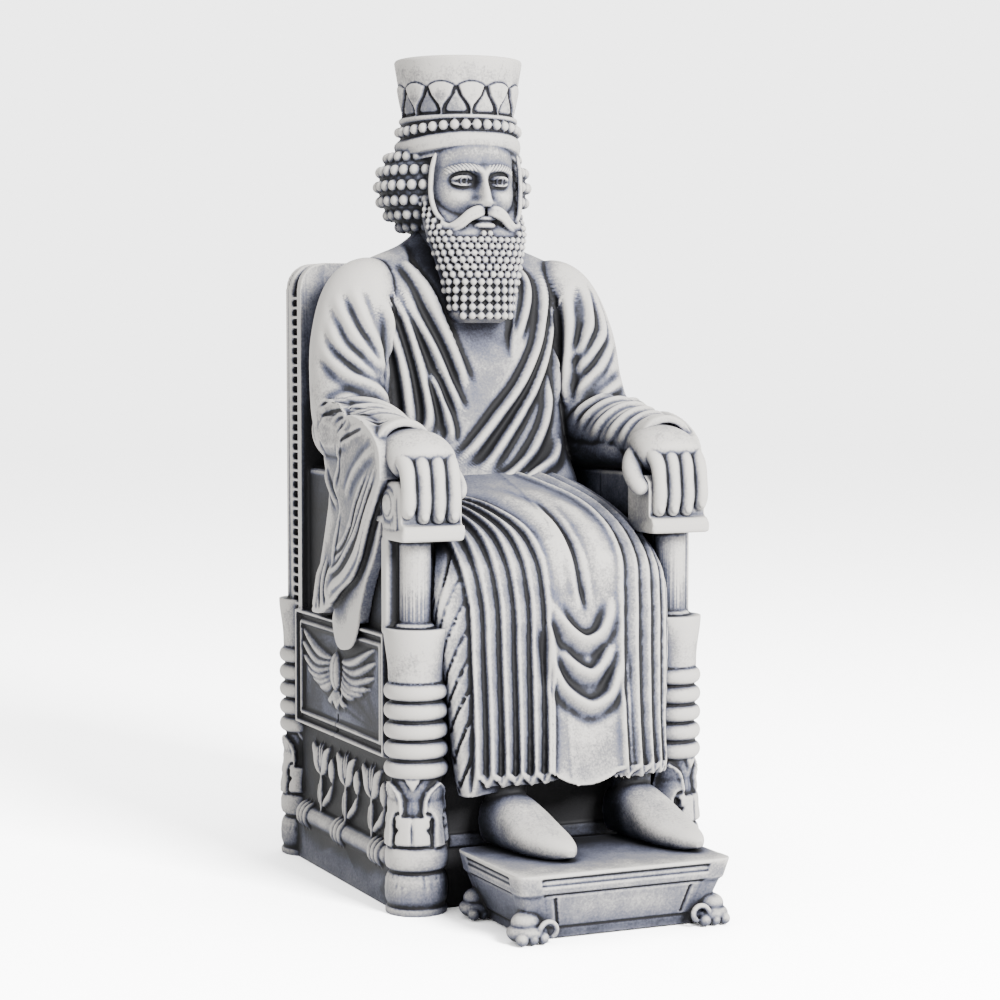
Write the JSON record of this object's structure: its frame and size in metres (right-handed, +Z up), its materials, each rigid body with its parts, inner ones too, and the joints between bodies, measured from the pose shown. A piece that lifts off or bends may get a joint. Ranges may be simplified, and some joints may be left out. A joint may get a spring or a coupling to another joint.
{
  "type": "seated persian king statue",
  "caption": "Cast resin statue of a bearded king in a fluted crown and pleated robe, seated on a carved throne with his feet on a footstool.",
  "frame": {"origin": "centre of the throne's footprint, on the ground", "axes": "+Z up, the king faces -Y, +X to the right of someone who faces the statue"},
  "size_m": [0.118, 0.1715, 0.28],
  "materials": {
    "polystone": "matt cast resin, ivory on the raised parts with a blue-black wash left in the recesses"
  },
  "bodies": {
    "root": {"king": "polystone", "throne": "polystone", "footstool": "polystone"}
  },
  "joints": []
}
